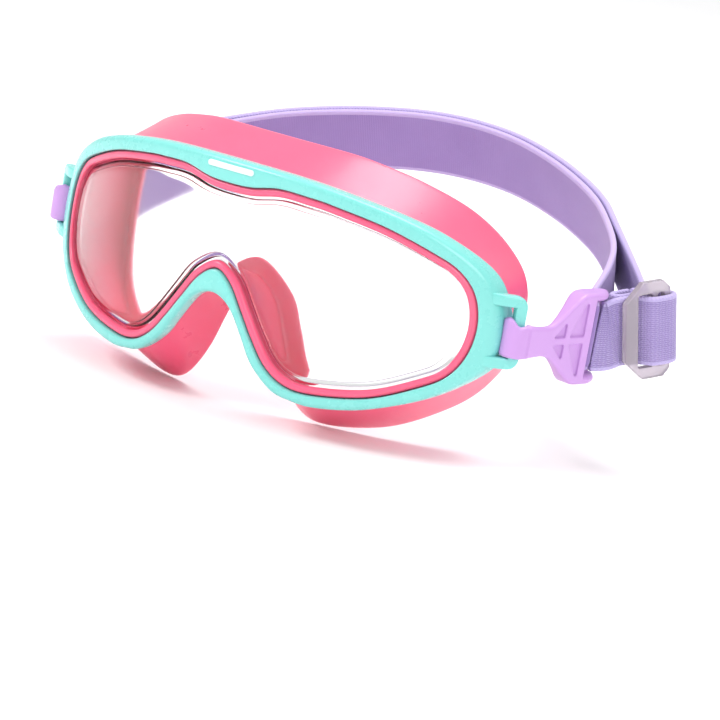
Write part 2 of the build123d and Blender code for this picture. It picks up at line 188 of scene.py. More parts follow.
def ring(rails, start=0, around=True):
    """Faces between closed rails of equal length; the last joins the first if around."""
    n = len(rails[0])
    faces = []
    last = len(rails) if around else len(rails) - 1
    for r in range(last):
        a, b = start + r * n, start + (r + 1) % len(rails) * n
        for k in range(n):
            m = (k + 1) % n
            faces.append((a + k, a + m, b + m, b + k))
    return faces


def sweep(path, ups, section):
    """Rails of a section (across, out) carried along a path whose across direction is ups."""
    tangent = np.gradient(path, axis=0)
    tangent /= np.linalg.norm(tangent, axis=1)[:, None]
    across = ups - (ups * tangent).sum(1)[:, None] * tangent
    across /= np.linalg.norm(across, axis=1)[:, None]
    out = np.cross(tangent, across)
    return [p + s[0] * a + s[1] * o for p, a, o in zip(path, across, out) for s in section]


def tube(name, path, ups, section, material, levels=0):
    """A closed swept solid with flat ends; keeps length and width as its ribbon layer."""
    verts = sweep(path, ups, section)
    n, m = len(section), len(path)
    faces = []
    for i in range(m - 1):
        for k in range(n):
            j = (k + 1) % n
            faces.append((i * n + k, i * n + j, (i + 1) * n + j, (i + 1) * n + k))
    faces.append(tuple(range(n)))
    faces.append(tuple((m - 1) * n + k for k in range(n)))
    step = np.linalg.norm(np.diff(path, axis=0), axis=1)
    along = np.concatenate([[0], np.cumsum(step)])
    seams = [(along[i], s[0]) for i in range(m) for s in section]
    return piece(name, verts, faces, material, levels, seams)


# ---- Materials ---------------------------------------------------------------------------
def srgb(r, g, b):
    """A colour given as seen, from 0 to 255, in the linear values the shader takes."""
    def one(v):
        v /= 255
        return v / 12.92 if v <= 0.04045 else ((v + 0.055) / 1.055) ** 2.4
    return (one(r), one(g), one(b), 1)


def node(tree, kind, **inputs):
    """A new shader node with some of its inputs set."""
    made = tree.nodes.new(kind)
    for key, value in inputs.items():
        made.inputs[key.replace("_", " ")].default_value = value
    return made


def math_node(tree, operation, a, b=None):
    """The result of one sum on sockets or numbers."""
    made = tree.nodes.new("ShaderNodeMath")
    made.operation = operation
    for socket, value in zip(made.inputs, (a, b)):
        if value is None:
            continue
        if isinstance(value, bpy.types.NodeSocket):
            tree.links.new(value, socket)
        else:
            socket.default_value = value
    return made.outputs[0]


def group(name, inputs, outputs):
    """A shared effect: its tree, with the sockets it takes and gives."""
    tree = bpy.data.node_groups.new(name, "ShaderNodeTree")
    for label, kind, value in inputs:
        socket = tree.interface.new_socket(label, in_out="INPUT", socket_type=kind)
        if value is not None:
            socket.default_value = value
    for label, kind in outputs:
        tree.interface.new_socket(label, in_out="OUTPUT", socket_type=kind)
    return tree, tree.nodes.new("NodeGroupInput"), tree.nodes.new("NodeGroupOutput")


def moulded_finish():
    """Fine mould grain and slow colour drift of a moulded part."""
    tree, given, result = group(
        "moulded_finish",
        [
            ("Colour", "NodeSocketColor", (0.5, 0.5, 0.5, 1)),
            ("Deep colour", "NodeSocketColor", (0.4, 0.4, 0.4, 1)),
            ("Roughness", "NodeSocketFloat", 0.3),
            ("Grain", "NodeSocketFloat", 900.0),
        ],
        [("Colour", "NodeSocketColor"), ("Roughness", "NodeSocketFloat"),
         ("Height", "NodeSocketFloat")],
    )
    place = tree.nodes.new("ShaderNodeTexCoord")
    drift = node(tree, "ShaderNodeTexNoise", Scale=45.0, Detail=3.0)
    grain = node(tree, "ShaderNodeTexNoise", Detail=4.0, Roughness=0.6)
    smear = node(tree, "ShaderNodeTexNoise", Scale=160.0, Detail=5.0, Roughness=0.65)
    for texture in (drift, grain, smear):
        tree.links.new(place.outputs["Object"], texture.inputs["Vector"])
    tree.links.new(given.outputs["Grain"], grain.inputs["Scale"])
    mix = tree.nodes.new("ShaderNodeMix")
    mix.data_type = "RGBA"
    tree.links.new(math_node(tree, "MULTIPLY", drift.outputs["Fac"], 0.55), mix.inputs[0])
    tree.links.new(given.outputs["Colour"], mix.inputs[6])
    tree.links.new(given.outputs["Deep colour"], mix.inputs[7])
    rough = math_node(tree, "MULTIPLY_ADD", smear.outputs["Fac"], 0.14)
    rough.node.inputs[2].default_value = -0.07
    sum_rough = math_node(tree, "ADD", rough, given.outputs["Roughness"])
    tree.links.new(mix.outputs[2], result.inputs["Colour"])
    tree.links.new(sum_rough, result.inputs["Roughness"])
    tree.links.new(grain.outputs["Fac"], result.inputs["Height"])
    return tree


def knitted_webbing():
    """Knit columns along the strap, stitches across them, plain selvedges and fuzz, with painted
    shade darkening the knit's low parts.
    """
    tree, given, result = group(
        "knitted_webbing",
        [
            ("Yarn", "NodeSocketColor", (0.4, 0.3, 0.6, 1)),
            ("Shade", "NodeSocketColor", (0.3, 0.2, 0.5, 1)),
            # Shade: the painted shade colour laid in the knit's low parts.
            ("Selvedge", "NodeSocketColor", (0.5, 0.4, 0.7, 1)),
            ("Column", "NodeSocketFloat", 1.15),
            ("Stitch", "NodeSocketFloat", 0.95),
        ],
        [("Colour", "NodeSocketColor"), ("Height", "NodeSocketFloat"),
         ("Roughness", "NodeSocketFloat")],
    )
    ribbon = tree.nodes.new("ShaderNodeUVMap")
    ribbon.uv_map = "ribbon"
    split = tree.nodes.new("ShaderNodeSeparateXYZ")
    tree.links.new(ribbon.outputs["UV"], split.inputs[0])
    along, across = split.outputs["X"], split.outputs["Y"]
    column = math_node(tree, "DIVIDE", across, given.outputs["Column"])
    inside = math_node(tree, "PINGPONG", column, 0.5)
    lean = math_node(tree, "MULTIPLY", inside, 1.1)
    stitch = math_node(tree, "DIVIDE", along, given.outputs["Stitch"])
    wave = math_node(tree, "SINE", math_node(
        tree, "MULTIPLY", math_node(tree, "ADD", stitch, lean), 2 * math.pi))
    loops = math_node(tree, "MULTIPLY_ADD", wave, 0.5)
    loops.node.inputs[2].default_value = 0.5
    round_column = math_node(tree, "SINE", math_node(tree, "MULTIPLY", inside, 2 * math.pi))
    knit = math_node(tree, "MULTIPLY", round_column, math_node(
        tree, "ADD", math_node(tree, "MULTIPLY", loops, 0.6), 0.4))
    edge = math_node(tree, "GREATER_THAN", math_node(tree, "ABSOLUTE", across), 8.7)
    plain = math_node(tree, "SUBTRACT", 1.0, edge)
    body = math_node(tree, "MULTIPLY", knit, plain)
    rim = math_node(tree, "MULTIPLY", edge, math_node(
        tree, "ADD", 0.35, math_node(tree, "MULTIPLY", loops, 0.45)))
    height = math_node(tree, "ADD", body, rim)
    place = tree.nodes.new("ShaderNodeTexCoord")
    fuzz = node(tree, "ShaderNodeTexNoise", Scale=2600.0, Detail=3.0)
    drift = node(tree, "ShaderNodeTexNoise", Scale=70.0, Detail=4.0)
    tree.links.new(place.outputs["Object"], fuzz.inputs["Vector"])
    tree.links.new(place.outputs["Object"], drift.inputs["Vector"])
    # Painted shade: the yarn is darkened towards the shade colour where the knit lies low, and
    # its tone also drifts at random.
    painted_shade = tree.nodes.new("ShaderNodeMix")
    painted_shade.data_type = "RGBA"
    deep = math_node(tree, "MULTIPLY", math_node(tree, "SUBTRACT", 1.0, height), 0.75)
    spread = math_node(tree, "MULTIPLY_ADD", drift.outputs["Fac"], 0.7)
    spread.node.inputs[2].default_value = -0.25
    tree.links.new(math_node(tree, "ADD", deep, spread), painted_shade.inputs[0])
    tree.links.new(given.outputs["Yarn"], painted_shade.inputs[6])
    tree.links.new(given.outputs["Shade"], painted_shade.inputs[7])
    hem = tree.nodes.new("ShaderNodeMix")
    hem.data_type = "RGBA"
    tree.links.new(math_node(tree, "MULTIPLY", edge, 0.8), hem.inputs[0])
    tree.links.new(painted_shade.outputs[2], hem.inputs[6])
    tree.links.new(given.outputs["Selvedge"], hem.inputs[7])
    tree.links.new(hem.outputs[2], result.inputs["Colour"])
    fuzzy = math_node(tree, "MULTIPLY_ADD", fuzz.outputs["Fac"], 0.35)
    tree.links.new(height, fuzzy.node.inputs[2])
    tree.links.new(fuzzy, result.inputs["Height"])
    rough = math_node(tree, "MULTIPLY_ADD", fuzz.outputs["Fac"], 0.2)
    rough.node.inputs[2].default_value = 0.62
    tree.links.new(rough, result.inputs["Roughness"])
    return tree


moulded = moulded_finish()
knitted = knitted_webbing()


def shader_of(name):
    """A new material, with its tree and its main shader."""
    material = bpy.data.materials.new(name)
    material.use_nodes = True
    tree = material.node_tree
    return material, tree, tree.nodes["Principled BSDF"]


def add_bump(tree, shader, height, distance, strength):
    """Relief of that height in metres on the shader."""
    bump = node(tree, "ShaderNodeBump", Strength=strength, Distance=distance)
    tree.links.new(height, bump.inputs["Height"])
    tree.links.new(bump.outputs["Normal"], shader.inputs["Normal"])


def moulded_material(name, colour, deep, roughness, grain, bump, **constants):
    material, tree, shader = shader_of(name)
    finish = tree.nodes.new("ShaderNodeGroup")
    finish.node_tree = moulded
    finish.inputs["Colour"].default_value = colour
    finish.inputs["Deep colour"].default_value = deep
    finish.inputs["Roughness"].default_value = roughness
    finish.inputs["Grain"].default_value = grain
    tree.links.new(finish.outputs["Colour"], shader.inputs["Base Color"])
    tree.links.new(finish.outputs["Roughness"], shader.inputs["Roughness"])
    add_bump(tree, shader, finish.outputs["Height"], 0.00004, bump)
    for key, value in constants.items():
        shader.inputs[key.replace("_", " ")].default_value = value
    return material


def webbing_material(name, yarn, painted_shade, selvedge, column, stitch, depth):
    material, tree, shader = shader_of(name)
    weave = tree.nodes.new("ShaderNodeGroup")
    weave.node_tree = knitted
    weave.inputs["Yarn"].default_value = yarn
    weave.inputs["Shade"].default_value = painted_shade
    weave.inputs["Selvedge"].default_value = selvedge
    weave.inputs["Column"].default_value = column
    weave.inputs["Stitch"].default_value = stitch
    tree.links.new(weave.outputs["Colour"], shader.inputs["Base Color"])
    tree.links.new(weave.outputs["Roughness"], shader.inputs["Roughness"])
    add_bump(tree, shader, weave.outputs["Height"], depth, 0.9)
    shader.inputs["Sheen Weight"].default_value = 0.25
    shader.inputs["Sheen Roughness"].default_value = 0.5
    shader.inputs["Specular IOR Level"].default_value = 0.25
    return material


frame_teal = moulded_material(
    "frame_teal", srgb(120, 203, 196), srgb(104, 192, 186), 0.27, 1400.0, 0.06,
    Coat_Weight=0.25, Coat_Roughness=0.15, Specular_IOR_Level=0.5,
)
# The brow bar's near-white colour is a painted highlight on the raised bar.
bar_painted_highlight = moulded_material(
    "bar_painted_highlight", srgb(226, 243, 241), srgb(206, 235, 232), 0.2, 1400.0, 0.04,
    Coat_Weight=0.4, Coat_Roughness=0.1,
)
skirt_pink = moulded_material(
    "skirt_pink", srgb(240, 92, 127), srgb(232, 74, 110), 0.3, 700.0, 0.04,
    Subsurface_Weight=0.2, Subsurface_Scale=0.003, Coat_Weight=0.2, Coat_Roughness=0.25,
)
skirt_pink.node_tree.nodes["Principled BSDF"].inputs["Subsurface Radius"].default_value = (
    1.0, 0.25, 0.3)
hook_lilac = moulded_material(
    "hook_lilac", srgb(190, 146, 207), srgb(176, 130, 197), 0.34, 1200.0, 0.08,
    Specular_IOR_Level=0.5,
)
slider_clear = moulded_material(
    "slider_clear", srgb(206, 196, 206), srgb(190, 178, 190), 0.16, 800.0, 0.06,
    Transmission_Weight=0.6, IOR=1.45,
)
lens_clear = moulded_material(
    "lens_clear", srgb(250, 251, 251), srgb(246, 248, 248), 0.07, 300.0, 0.01,
    Transmission_Weight=1.0, IOR=1.42,
)
# Each strap's second colour is the painted shade laid in its knit's low parts.
strap_knit = webbing_material(
    "strap_knit", srgb(178, 162, 210), srgb(133, 114, 176), srgb(182, 168, 214),
    1.15, 0.95, 0.00030,
)
strap_smooth = webbing_material(
    "strap_smooth", srgb(160, 136, 194), srgb(140, 114, 176), srgb(190, 172, 216),
    0.6, 0.7, 0.00010,
)


# ---- Frame -------------------------------------------------------------------------------
frame_rails = [
    on_wrap(aperture_half, 0.0, frame_back + 0.2),
    on_wrap(aperture_half, 0.0, frame_front - 0.9),
    on_wrap(aperture_half, -0.08, frame_front - 0.4),
    on_wrap(aperture_half, -0.35, frame_front - 0.1),
    on_wrap(aperture_half, -0.8, frame_front),
    on_wrap(frame_half, 1.5, frame_front),
    on_wrap(frame_half, 0.9, frame_front - 0.12),
    on_wrap(frame_half, 0.4, frame_front - 0.45),
    on_wrap(frame_half, 0.1, frame_front - 1.0),
    on_wrap(frame_half, 0.0, frame_front - 1.8),
    on_wrap(frame_half, 0.0, frame_back + 1.0),
    on_wrap(frame_half, 0.35, frame_back + 0.3),
    on_wrap(frame_half, 1.0, frame_back),
    on_wrap(aperture_half, -0.3, frame_back),
]
frame_rim = piece(
    "frame_rim", np.vstack(frame_rails), ring(frame_rails), frame_teal, levels=1)
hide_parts("frame")
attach(frame_rim, "mask")

# Side lugs: a rounded bar bent round the window that the hook swings in.
hinge_angle = math.asin(69.0 / wrap_radius) + 11.0 / wrap_radius
hinge = np.array([
    wrap_radius * math.sin(hinge_angle), wrap_centre - wrap_radius * math.cos(hinge_angle), 0])
arm = np.array([math.cos(hinge_angle), math.sin(hinge_angle), 0])
away = np.array([math.sin(hinge_angle), -math.cos(hinge_angle), 0])
up = np.array([0, 0, 1.0])


def rounded_bar(half_across, half_out, power, count=16):
    """A rounded section between a circle and a rectangle."""
    points = []
    for k in range(count):
        angle = 2 * math.pi * (k + 0.5) / count
        c, s = math.cos(angle), math.sin(angle)
        points.append((
            half_across * math.copysign(abs(c) ** power, c),
            half_out * math.copysign(abs(s) ** power, s),
        ))
    return points


def bent(corners, radius, spacing=0.45):
    """Straight runs with rounded corners, as evenly spaced points."""
    corners = [np.array(c, float) for c in corners]
    points = [corners[0]]
    for before, corner, after in zip(corners[:-2], corners[1:-1], corners[2:]):
        near = corner + (before - corner) / np.linalg.norm(before - corner) * radius
        far = corner + (after - corner) / np.linalg.norm(after - corner) * radius
        for t in np.linspace(0, 1, 9):
            points.append((1 - t) ** 2 * near + 2 * t * (1 - t) * corner + t * t * far)
    points.append(corners[-1])
    curve = np.array(points)
    length = np.linalg.norm(np.diff(curve, axis=0), axis=1).sum()
    return evenly(curve, int(length / spacing))


lug_path = bent([
    hinge - arm * 8.4 - away * 1.5 + up * 8.5,
    hinge - arm * 6.0 - away * 0.4 + up * 8.5,
    hinge + up * 8.35,
    hinge - up * 8.75,
    hinge - arm * 6.0 - away * 0.4 - up * 8.9,
    hinge - arm * 8.4 - away * 1.5 - up * 8.9,
], 1.5)
for side, label in ((1, "right"), (-1, "left")):
    mirror = np.array([side, 1, 1])
    lug = tube(
        "lug_" + label, lug_path * mirror, np.tile(away * mirror, (len(lug_path), 1)),
        rounded_bar(1.7, 1.65, 0.34), frame_teal, levels=1)
    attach(lug, "mask")

# The low raised bar on the brow; its near-white colour is a painted highlight.
bar_rails = []
for half_length, half_height, radius in (
    (7.5, 0.85, 104.5), (7.5, 0.85, 105.0), (7.4, 0.75, 105.25), (7.2, 0.55, 105.38),
    (7.0, 0.3, 105.4), (6.8, 0.02, 105.4),
):
    turn = half_height
    slot = []
    for k in range(48):
        angle = 2 * math.pi * k / 48
        x = math.cos(angle) * turn + math.copysign(half_length - turn, math.cos(angle))
        slot.append((x, 29.2 + math.sin(angle) * half_height))
    bar_rails.append(on_drum(np.array(slot), radius, wrap_centre))
brow_bar = piece(
    "brow_bar", np.vstack(bar_rails), ring(bar_rails, around=False), bar_painted_highlight, levels=1)
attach(brow_bar, "mask")

# ---- Skirt -------------------------------------------------------------------------------
inner_front = on_wrap(aperture_half, 1.6, 97.0)
inner_rear = on_face(3.0, 86.7)
outer_front = on_wrap(frame_half, 1.8, frame_back - 0.4)
outer_rear = on_face(0.0, 85.9)
seal_rails = [
    on_face(amount, radius)
    for amount, radius in (
        (3.6, 86.6), (7.4, 86.5), (7.85, 86.2), (8.0, 85.8), (7.85, 85.3), (7.4, 85.0),
        (4.5, 85.0), (1.0, 85.0), (0.25, 85.25),
    )
]
skirt_rails = [on_wrap(frame_half, 2.2, frame_back - 0.07)]
skirt_rails += [
    on_wrap(aperture_half, amount, radius)
    for amount, radius in (
        (0.12, 98.7), (0.12, 103.0), (0.3, 103.6), (0.75, 103.95), (1.4, 104.0),
        (1.95, 103.85), (2.3, 103.4), (2.4, 102.7), (2.4, 101.85), (1.05, 101.85),
        (1.05, 100.45), (1.05, 97.6), (1.5, 97.3),
    )
]
skirt_rails += [inner_front + (inner_rear - inner_front) * s for s in (0, 0.3, 0.6, 0.85, 0.97)]
skirt_rails += seal_rails
skirt_rails += [outer_rear + (outer_front - outer_rear) * s for s in (0, 0.06, 0.3, 0.6, 0.9, 1)]
skirt_shell = piece(
    "skirt_shell", np.vstack(skirt_rails), ring(skirt_rails), skirt_pink, levels=1)
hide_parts("skirt")
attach(skirt_shell, "mask")


# ---- Lens --------------------------------------------------------------------------------
def lens_pane():
    """A curved pane with a stepped flange, in columns from brow edge to lower edge."""
    edge = smooth(closed(inset(aperture_half, 4.7)), loop=True)
    reach = np.abs(edge[:, 0]).max() - 0.02
    columns = reach * -np.cos(np.linspace(0.06, math.pi - 0.06, 150))
    rows = 20
    tops, lows = [], []
    for x in columns:
        a, b = edge[:-1], edge[1:]
        hit = (a[:, 0] - x) * (b[:, 0] - x) <= 0
        hit &= a[:, 0] != b[:, 0]
        share = (x - a[hit, 0]) / (b[hit, 0] - a[hit, 0])
        z = a[hit, 1] + share * (b[hit, 1] - a[hit, 1])
        tops.append(z.max())
        lows.append(z.min())
    border = [(x, z) for x, z in zip(columns, tops)]
    border += [(x, z) for x, z in zip(columns[::-1], lows[::-1])]
    border = np.array(border)
    run = np.roll(border, -1, 0) - np.roll(border, 1, 0)
    normal = np.stack([-run[:, 1], run[:, 0]], 1)
    normal /= np.linalg.norm(normal, axis=1)[:, None]
    rails = [
        on_drum(border + normal * step, radius, wrap_centre)
        for step, radius in (
            (0, 103.07), (0.12, 103.0), (0.2, 102.85), (0.25, 102.55), (0.4, 102.45),
            (1.2, 102.45), (1.35, 102.35), (1.4, 102.1), (1.5, 102.0), (2.1, 102.0),
            (2.2, 101.9), (2.25, 101.8), (3.4, 101.8), (3.55, 101.7), (3.55, 100.6),
            (3.4, 100.5), (1.6, 100.5), (1.5, 100.65), (1.3, 100.65), (1.2, 100.5),
            (0, 100.5),
        )
    ]
    verts = [tuple(p) for rail in rails for p in rail]
    faces = ring(rails, around=False)
    count = len(border)
    width = len(columns)
    for rail, radius in ((0, 103.1), (len(rails) - 1, 100.5)):
        grid = {}
        for c in range(width):
            grid[c, 0] = rail * count + c
            grid[c, rows] = rail * count + count - 1 - c
            for r in range(1, rows):
                z = tops[c] + (lows[c] - tops[c]) * r / rows
                verts.append(tuple(on_drum(
                    np.array([[columns[c], z]]), radius, wrap_centre)[0]))
                grid[c, r] = len(verts) - 1
        for c in range(width - 1):
            for r in range(rows):
                faces.append((grid[c, r], grid[c + 1, r], grid[c + 1, r + 1], grid[c, r + 1]))
        for c in (0, width - 1):
            faces.append(tuple(grid[c, r] for r in range(rows + 1)))
    return verts, faces


lens_shield = piece("lens_shield", *lens_pane(), lens_clear)
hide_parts("lens")
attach(lens_shield, "mask")


# ---- Strap -------------------------------------------------------------------------------
def level(angle):
    """A level run at that angle outwards from straight back, and its outer side."""
    angle = math.radians(angle)
    run = np.array([math.sin(angle), math.cos(angle), 0])
    side = np.array([math.cos(angle), -math.sin(angle), 0])
    return run, side


rear_bar = hinge + np.array([0.2079, 0.9781, 0]) * 32.5 - np.array([0.9781, -0.2079, 0]) * 0.8
rear_bar[2] = -2.0
inner_run, inner_side = level(-10)
outer_run, outer_side = level(30)
bar_loop = 2.4
rise = math.radians(23)
band_up = np.array([0, -math.sin(rise), math.cos(rise)])
adjuster = math.radians(12)
slide_run = outer_run * math.cos(adjuster) + up * math.sin(adjuster)
slide_up = up * math.cos(adjuster) - outer_run * math.sin(adjuster)
slider_origin = rear_bar + slide_run * 8.0 + outer_side * 4.7


def in_space(flat):
    """Points of the band's tilted plane, in the goggles' own frame."""
    flat = np.array(flat, float)
    across, rearwards = flat[:, 0], flat[:, 1]
    return np.stack([
        across,
        rear_bar[1] + rearwards * math.cos(rise),
        rear_bar[2] + rearwards * math.sin(rise),
    ], 1)


inner_half = [
    (79.3, 6.5), (76.6, 18.8), (72.3, 29.9), (65.0, 40.6), (55.1, 50.7), (43.3, 58.8),
    (29.7, 65.7), (14.9, 70.7), (0.0, 72.3), (-14.9, 70.7), (-29.7, 65.7),
]


def shifted(points, amount):
    """Points of the band's path moved outwards along its normals."""
    moved = []
    for i, (x, y) in enumerate(points):
        before = points[max(i - 1, 0)]
        after = points[min(i + 1, len(points) - 1)]
        run, climb = after[0] - before[0], after[1] - before[1]
        length = math.hypot(run, climb)
        moved.append((x + climb / length * amount[i], y - run / length * amount[i]))
    return moved


def section_of(width, thickness):
    """The webbing's section: flat faces, soft edges that stand a little proud."""
    w, t = width / 2, thickness / 2
    half = [
        (-w, -0.35 * t), (-w, 0.35 * t), (-w + 0.25, 0.85 * t), (-w + 0.7, t),
        (-w + 1.4, 0.97 * t), (-w + 2.2, 0.9 * t), (-w / 2, 0.93 * t), (0, 0.95 * t),
        (w / 2, 0.93 * t), (w - 2.2, 0.9 * t), (w - 1.4, 0.97 * t), (w - 0.7, t),
        (w - 0.25, 0.85 * t),
    ]
    return half + [(-a, -b) for a, b in half]


webbing = section_of(webbing_width, webbing_thickness)


def ribbon(name, points, ups, material, spacing=1.2, steps=12, side=0):
    """Webbing along given points, each with the direction that its width takes.

    With a side, the points run past the middle of the back, and the piece ends there.
    """
    both = smooth(np.hstack([points, ups]), steps=steps)
    if side:
        both = both[both[:, 0] * side > -1.6]
    step = np.linalg.norm(np.diff(both[:, :3], axis=0), axis=1)
    along = np.concatenate([[0], np.cumsum(step)])
    keep = np.concatenate([[True], np.diff(along) > 1e-6])
    both, along = both[keep], along[keep]
    wanted = np.linspace(0, along[-1], int(along[-1] / spacing) + 2)
    both = np.stack([np.interp(wanted, along, both[:, k]) for k in range(6)], 1)
    strap = tube(name, both[:, :3], both[:, 3:], webbing, material, levels=1)
    return strap


def turned(amount):
    """Width directions that turn from upright into the band's tilt, by share."""
    return np.array([up * (1 - t) + band_up * t for t in amount])


def bar_arc(start, end, count=9):
    """Round the right hook's rear bar, from one angle to another, seen from above."""
    angles = np.radians(np.linspace(start, end, count))
    ring_points = np.stack([np.cos(angles), np.sin(angles), 0 * angles], 1) * bar_loop
    return rear_bar + ring_points


inner_band = in_space(inner_half)
outer_flat = shifted(inner_half, [2.2] * len(inner_half))
outer_band = in_space(outer_flat)
# The webbing turns from upright at the hooks into the band's tilt.
tilt_in = np.clip(np.arange(len(inner_half)) / 3.0, 0, 1)

# Right side, inner layer: from the middle of the back to the hook's rear bar and round it.
to_bar = rear_bar - inner_side * bar_loop + inner_run * 2.6
points = np.vstack([inner_band[::-1], [to_bar], bar_arc(190, 330, 8)])
ups = np.vstack([turned(tilt_in[::-1]), np.tile(up, (9, 1))])
strap_inner_right = ribbon("strap_inner_right", points, ups, strap_smooth, side=1)
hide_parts("strap_right_loop", "headband_inner")


def at_slider(along, behind):
    return slider_origin + slide_run * along - outer_side * behind


# From the rear bar through the slider, back and round the sewn hairpin.
through = [
    (bar_arc(330, 330, 1)[0], up),
    (rear_bar + outer_side * bar_loop + outer_run * 1.6, up),
    (rear_bar + outer_side * (bar_loop + 0.1) + outer_run * 4.2 + up * 0.35, up),
    (at_slider(-1.2, 2.35), slide_up),
    (at_slider(2.0, 2.3), slide_up),
    (at_slider(4.3, 2.1), slide_up),
    (at_slider(6.3, 0.0), slide_up),
    (at_slider(8.3, -2.1), slide_up),
    (at_slider(10.5, -2.3), slide_up),
    (at_slider(13.2, -2.3), slide_up),
    (at_slider(15.0, -1.5), slide_up),
    (at_slider(15.8, 0.0), slide_up),
    (at_slider(15.0, 1.6), slide_up),
    (at_slider(13.0, 2.5), slide_up),
    (at_slider(10.6, 3.3), slide_up),
    (at_slider(8.0, 4.3), slide_up),
    (at_slider(5.0, 4.5), slide_up),
    (at_slider(2.2, 4.6), slide_up),
    (at_slider(0.7, 5.1), slide_up),
    (at_slider(0.1, 6.3), slide_up),
    (at_slider(0.7, 7.6), slide_up),
    (at_slider(2.4, 8.1), slide_up),
    (at_slider(5.0, 8.1), slide_up),
    (at_slider(6.6, 8.1), slide_up),
]
strap_through_slider = ribbon(
    "strap_through_slider", np.array([p for p, u in through]),
    np.array([u for p, u in through]), strap_knit, spacing=0.6, steps=8)
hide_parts("slider_fold", "strap_end_fold")

# Right side, outer layer: from the hairpin to the middle of the back.
tail_run = [at_slider(6.5, 8.1), at_slider(8.5, 8.25), at_slider(11.5, 8.7)]
outer_right_points = np.vstack([tail_run, outer_band[3:]])
outer_right_ups = np.vstack([
    [slide_up, slide_up, slide_up * 0.8 + band_up * 0.2],
    np.tile(band_up, (len(outer_band) - 3, 1)),
])
curve = smooth(np.hstack([outer_right_points, outer_right_ups]), steps=12)
curve = evenly(curve[curve[:, 0] > -1.6], 120)
cut = 30  # stations from the hairpin to where the two lengths meet
near = tube("strap_outer_near", curve[: cut + 3, :3], curve[: cut + 3, 3:], webbing,
            strap_knit, levels=1)
far = tube("strap_outer_right", curve[cut:, :3], curve[cut:, 3:], webbing, strap_knit, levels=1)
offset = np.linalg.norm(np.diff(curve[: cut + 1, :3], axis=0), axis=1).sum()
for loop in far.data.uv_layers["ribbon"].data:
    loop.uv[0] += offset
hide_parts("strap_right_outer")
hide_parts("headband_outer", "strap_right_outer")

# Left side: both layers from the middle of the back, joined round the left hook's bar.
left_outer = shifted(inner_half, [4.6, 3.9, 3.1, 2.5] + [2.2] * 7)
left_outer_band = in_space(left_outer)
to_bar_outer = rear_bar + inner_side * bar_loop + inner_run * 2.6
points = np.vstack([
    inner_band[::-1], [to_bar], bar_arc(190, 350, 8), [to_bar_outer], left_outer_band])
ups = np.vstack([
    turned(tilt_in[::-1]), np.tile(up, (10, 1)), turned(tilt_in)])
strap_left = ribbon(
    "strap_left", points * (-1, 1, 1), ups * (-1, 1, 1), strap_knit, side=-1)
strap_left.data.materials.append(strap_smooth)
layer_length = strap_left.data.uv_layers["ribbon"].data
turn_at = min(
    (strap_left.data.vertices[strap_left.data.loops[k].vertex_index].co.y, layer_length[k].uv[0])
    for k in range(len(layer_length)))[1]
for face in strap_left.data.polygons:
    if layer_length[face.loop_indices[0]].uv[0] < turn_at:
        face.material_index = 1
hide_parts("strap_left_loop", "headband_inner", "headband_outer")


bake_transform(strap_inner_right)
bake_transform(far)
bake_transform(near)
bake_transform(strap_through_slider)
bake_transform(strap_left)

# ---- Strap hooks -------------------------------------------------------------------------
hook_cell = 0.00024  # metres, as is the slider's
slider_cell = 0.00022
soften_passes = 5
hook_back = np.array([0.2079, 0.9781, 0])
hook_out = np.array([0.9781, -0.2079, 0])
# Along the hook from its hinge: half width, the cheeks' outer and inner faces.
hook_edge = [
    (0, 4.8), (5.5, 4.25), (9.5, 4.5), (13, 6.5), (17, 9.6), (20.5, 12.1), (24, 13.0),
    (36, 12.9),
]
wall_face = [(7, 4.45), (27, 4.45), (30, 4.1), (32.5, 3.0), (34.2, 1.4), (34.9, 0.2)]
wall_low = [(7, 2.1), (11, 1.9), (16, 0.6), (21, -1.3), (26, -2.2), (33, -2.2), (34.9, -1.4)]
# Height of the sleeve's upper edge by angle round the lug bar, in degrees.
sleeve_top = [(-40, 4.8), (5, 4.4), (38, 4.2), (70, 5.5), (95, 6.1), (125, 5.7), (222, 5.2)]
# Upper pockets in the plate, mirrored below: along the hook, height.
small_pocket = [(10.9, 1.0), (15.7, 1.0), (15.7, 4.9), (14.9, 4.9)]
large_pocket = [(17.4, 1.0), (23.6, 1.0), (23.6, 10.2), (22.4, 10.2)]


def read_at(table, value):
    """A value between the table's points, along their smooth curve."""
    dense = smooth(table)
    return float(np.interp(value, dense[:, 0], dense[:, 1]))


def on_hook(u, z, n):
    """A point by its place along the hook, its height and its distance outwards."""
    return hinge + hook_back * u + hook_out * n + up * (z - 2.0)


def solid(rings):
    """Verts and faces of a closed solid from rings of equal length."""
    verts = [v for one in rings for v in one]
    n = len(rings[0])
    faces = ring(rings, around=False)
    faces += [tuple(range(n)), tuple(len(verts) - n + k for k in range(n))]
    return verts, faces


def eased(a, b, c, d, cut):
    """A rectangle's corners (z from a to b, n from c to d), each cut off."""
    return [
        (a + cut, c), (b - cut, c), (b, c + cut), (b, d - cut),
        (b - cut, d), (a + cut, d), (a, d - cut), (a, c + cut),
    ]


